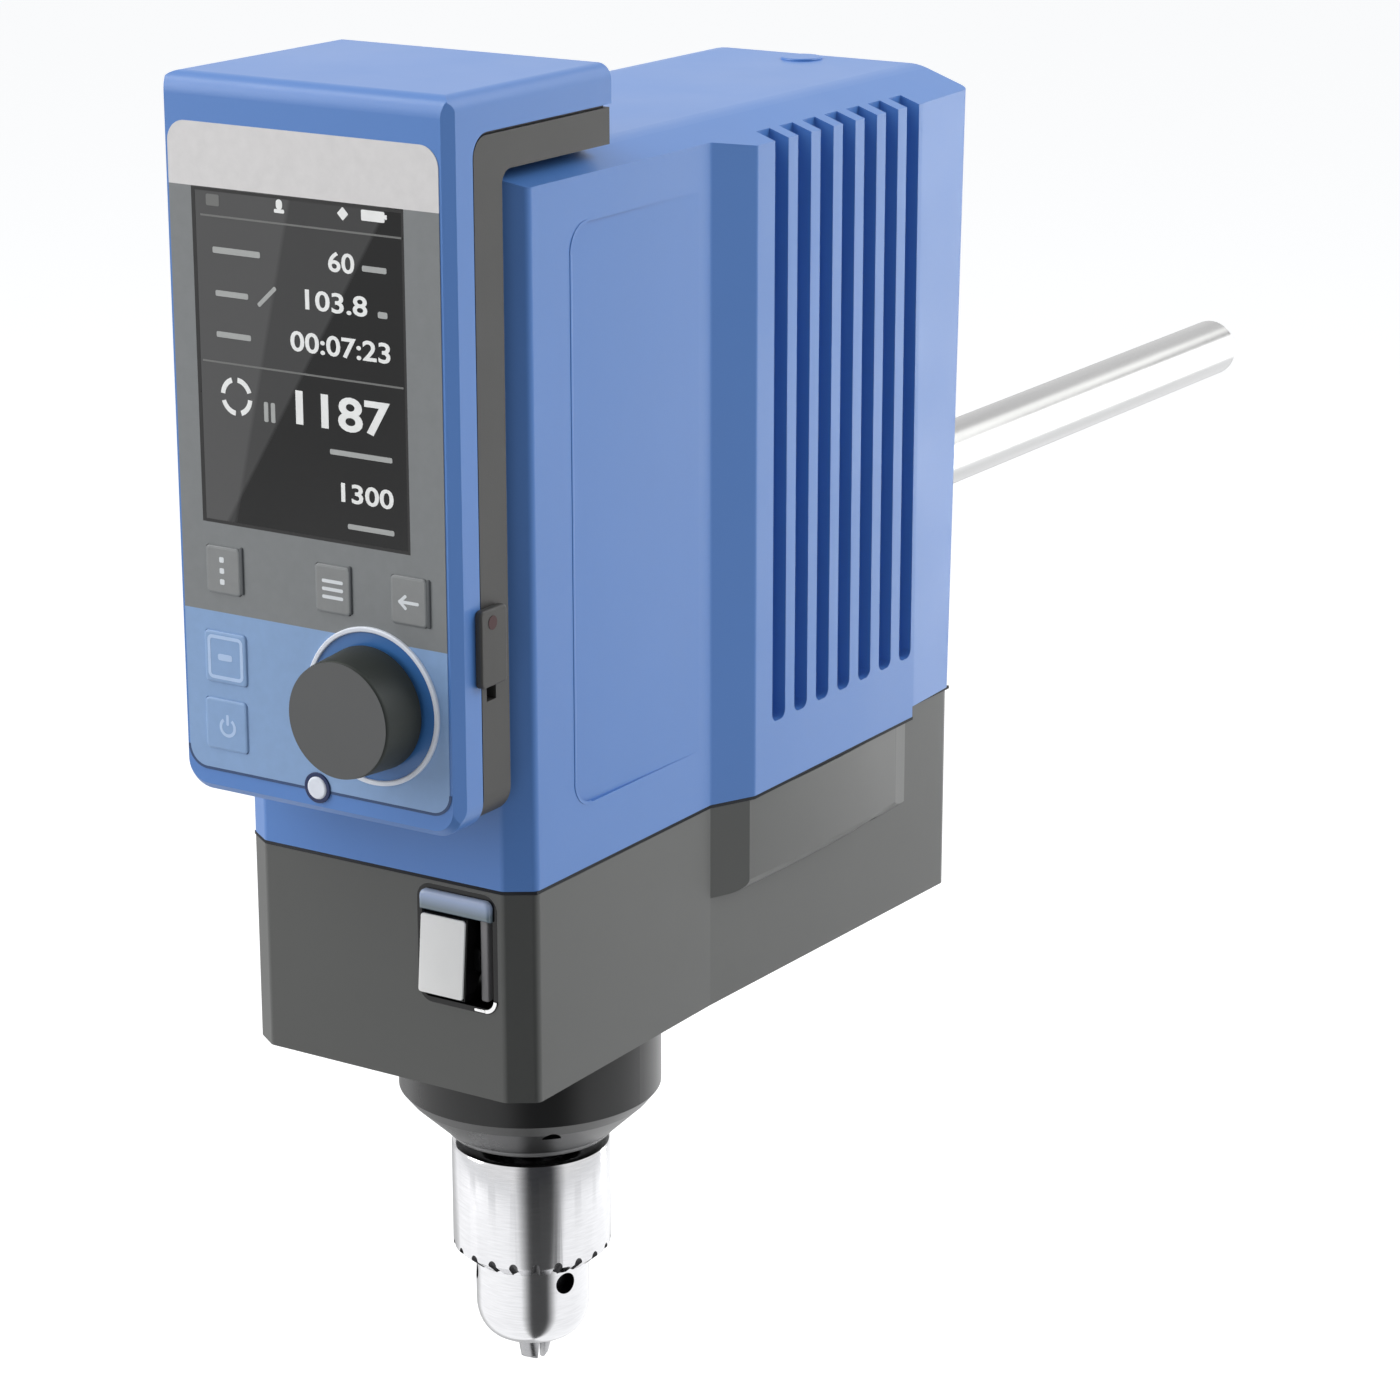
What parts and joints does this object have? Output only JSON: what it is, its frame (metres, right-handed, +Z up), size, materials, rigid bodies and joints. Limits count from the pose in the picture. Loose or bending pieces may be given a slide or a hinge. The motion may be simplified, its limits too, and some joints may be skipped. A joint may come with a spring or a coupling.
{
  "type": "overhead stirrer",
  "caption": "Laboratory overhead stirrer with a finned housing, a clip-on control head with display and knob, a keyed three-jaw chuck and a rear support rod.",
  "frame": {"origin": "on the spindle axis at the tips of the chuck jaws", "axes": "+Z up along the spindle axis, -Y towards the operator and the control head, +Y along the support rod"},
  "size_m": [0.0864, 0.4447, 0.31],
  "materials": {
    "housing_blue": "satin",
    "base_grey": "satin",
    "dark_plastic": "fine texture",
    "black_plastic": "matt",
    "panel_grey": "satin",
    "strip_white": "satin",
    "key_grey": "soft",
    "knob_dark": "satin",
    "rocker_grey": "satin",
    "clear_cap": "gloss",
    "display_glass": "gloss",
    "display_panel_black": "gloss",
    "ring_white": "gloss",
    "gasket_black": "matt",
    "flange_black": "gloss",
    "chrome_steel": "bright",
    "tool_steel": "ground",
    "rod_steel": "ground",
    "bearing_steel": "ground",
    "screw_steel": "plated",
    "cast_alloy": "cast",
    "motor_steel": "satin",
    "copper_windings": "wound",
    "bush_bronze": "turned",
    "fan_plastic": "matt",
    "circuit_green": "satin",
    "battery_wrap": "gloss"
  },
  "bodies": {
    "housing": {"base_housing": "base_grey", "main_housing": "housing_blue", "seam_gasket": "gasket_black", "roof_plug": "black_plastic", "spindle_port_cap": "gasket_black", "docking_rail": "dark_plastic", "dock_socket": "black_plastic", "spindle_flange": "flange_black", "flange_screws": "screw_steel", "lower_bearing": "bearing_steel", "upper_bearing": "bearing_steel", "spindle_bush": "bush_bronze", "drive_plate": "cast_alloy", "motor_can": "motor_steel", "motor_windings": "copper_windings", "motor_bearings": "bearing_steel", "support_rod": "rod_steel", "rod_mount": "cast_alloy", "switch_bezel": "black_plastic", "switch_lens": "clear_cap", "mains_inlet": "black_plastic", "sensor_socket": "black_plastic", "base_screws": "screw_steel", "power_board": "circuit_green"},
    "rotor": {"motor_shaft": "tool_steel", "rotor_magnet": "motor_steel", "motor_pinion": "tool_steel", "cooling_fan": "fan_plastic"},
    "spindle": {"hollow_spindle": "tool_steel", "spindle_gear": "tool_steel", "chuck_body": "chrome_steel"},
    "chuck_sleeve": {"chuck_sleeve": "chrome_steel", "ring_nut": "tool_steel"},
    "jaw_1": {"jaw_1": "tool_steel"},
    "jaw_2": {"jaw_2": "tool_steel"},
    "jaw_3": {"jaw_3": "tool_steel"},
    "control_head": {"head_shell": "housing_blue", "head_frame": "dark_plastic", "head_screws": "screw_steel", "dock_plug": "black_plastic", "label_strip": "strip_white", "display_panel": "panel_grey", "lower_panel": "housing_blue", "display_glass": "display_glass", "display_module": "display_panel_black", "control_board": "circuit_green", "battery_pack": "battery_wrap", "rotary_encoder": "black_plastic", "dial_ring": "ring_white", "status_lamp": "ring_white"},
    "knob_push": {"encoder_plunger": "fan_plastic"},
    "knob": {"encoder_shaft": "tool_steel", "control_knob": "knob_dark"},
    "soft_key_1": {"soft_key_1": "key_grey"},
    "soft_key_2": {"soft_key_2": "key_grey"},
    "soft_key_3": {"soft_key_3": "key_grey"},
    "start_key": {"start_key": "key_grey"},
    "standby_key": {"standby_key": "key_grey"},
    "power_rocker": {"power_rocker": "rocker_grey"},
    "release_slider": {"release_slider": "dark_plastic"}
  },
  "joints": [
    {"name": "motor_turn", "type": "hinge", "parent": "housing", "child": "rotor", "pos_m": [0, 0.04, 0], "axis": [0, 0, 1], "continuous": true},
    {"name": "spindle_turn", "type": "hinge", "parent": "housing", "child": "spindle", "pos_m": [0, 0, 0], "axis": [0, 0, 1], "continuous": true},
    {"name": "sleeve_turn", "type": "hinge", "parent": "spindle", "child": "chuck_sleeve", "pos_m": [0, 0, 0], "axis": [0, 0, 1], "range_deg": [-868, 3040]},
    {"name": "jaw_1_slide", "type": "slide", "parent": "spindle", "child": "jaw_1", "axis": [0.2011, 0.1629, 0.9659], "range_m": [-0.00386, 0.01352]},
    {"name": "jaw_2_slide", "type": "slide", "parent": "spindle", "child": "jaw_2", "axis": [-0.2416, 0.0928, 0.9659], "range_m": [-0.00386, 0.01352]},
    {"name": "jaw_3_slide", "type": "slide", "parent": "spindle", "child": "jaw_3", "axis": [0.0405, -0.2556, 0.9659], "range_m": [-0.00386, 0.01352]},
    {"name": "head_slide", "type": "slide", "parent": "housing", "child": "control_head", "axis": [0, -1, 0], "range_m": [0, 0.06]},
    {"name": "knob_press", "type": "slide", "parent": "control_head", "child": "knob_push", "axis": [0, 1, 0], "range_m": [0, 0.0008], "stiffness_N_per_m": 2500, "springref_m": -0.0008},
    {"name": "knob_turn", "type": "hinge", "parent": "knob_push", "child": "knob", "pos_m": [0.0151, 0, 0.1827], "axis": [0, 1, 0], "continuous": true},
    {"name": "soft_key_1_press", "type": "slide", "parent": "control_head", "child": "soft_key_1", "axis": [0, 1, 0], "range_m": [0, 0.0007], "stiffness_N_per_m": 1500, "springref_m": -0.0007},
    {"name": "soft_key_2_press", "type": "slide", "parent": "control_head", "child": "soft_key_2", "axis": [0, 1, 0], "range_m": [0, 0.0007], "stiffness_N_per_m": 1500, "springref_m": -0.0007},
    {"name": "soft_key_3_press", "type": "slide", "parent": "control_head", "child": "soft_key_3", "axis": [0, 1, 0], "range_m": [0, 0.0007], "stiffness_N_per_m": 1500, "springref_m": -0.0007},
    {"name": "start_key_press", "type": "slide", "parent": "control_head", "child": "start_key", "axis": [0, 1, 0], "range_m": [0, 0.0007], "stiffness_N_per_m": 1500, "springref_m": -0.0007},
    {"name": "standby_key_press", "type": "slide", "parent": "control_head", "child": "standby_key", "axis": [0, 1, 0], "range_m": [0, 0.0007], "stiffness_N_per_m": 1500, "springref_m": -0.0007},
    {"name": "power_switch", "type": "hinge", "parent": "housing", "child": "power_rocker", "pos_m": [0.0172, -0.052, 0.1215], "axis": [1, 0, 0], "range_deg": [0, 10]},
    {"name": "release_slide", "type": "slide", "parent": "control_head", "child": "release_slider", "axis": [0, 0, -1], "range_m": [0, 0.0045], "stiffness_N_per_m": 400, "springref_m": -0.002}
  ],
  "couplings": [
    {"joint": "motor_turn", "follows": "spindle_turn", "ratio": -3},
    {"joint": "jaw_1_slide", "follows": "sleeve_turn", "m_per_rad": 0.00025465},
    {"joint": "jaw_2_slide", "follows": "sleeve_turn", "m_per_rad": 0.00025465},
    {"joint": "jaw_3_slide", "follows": "sleeve_turn", "m_per_rad": 0.00025465}
  ]
}
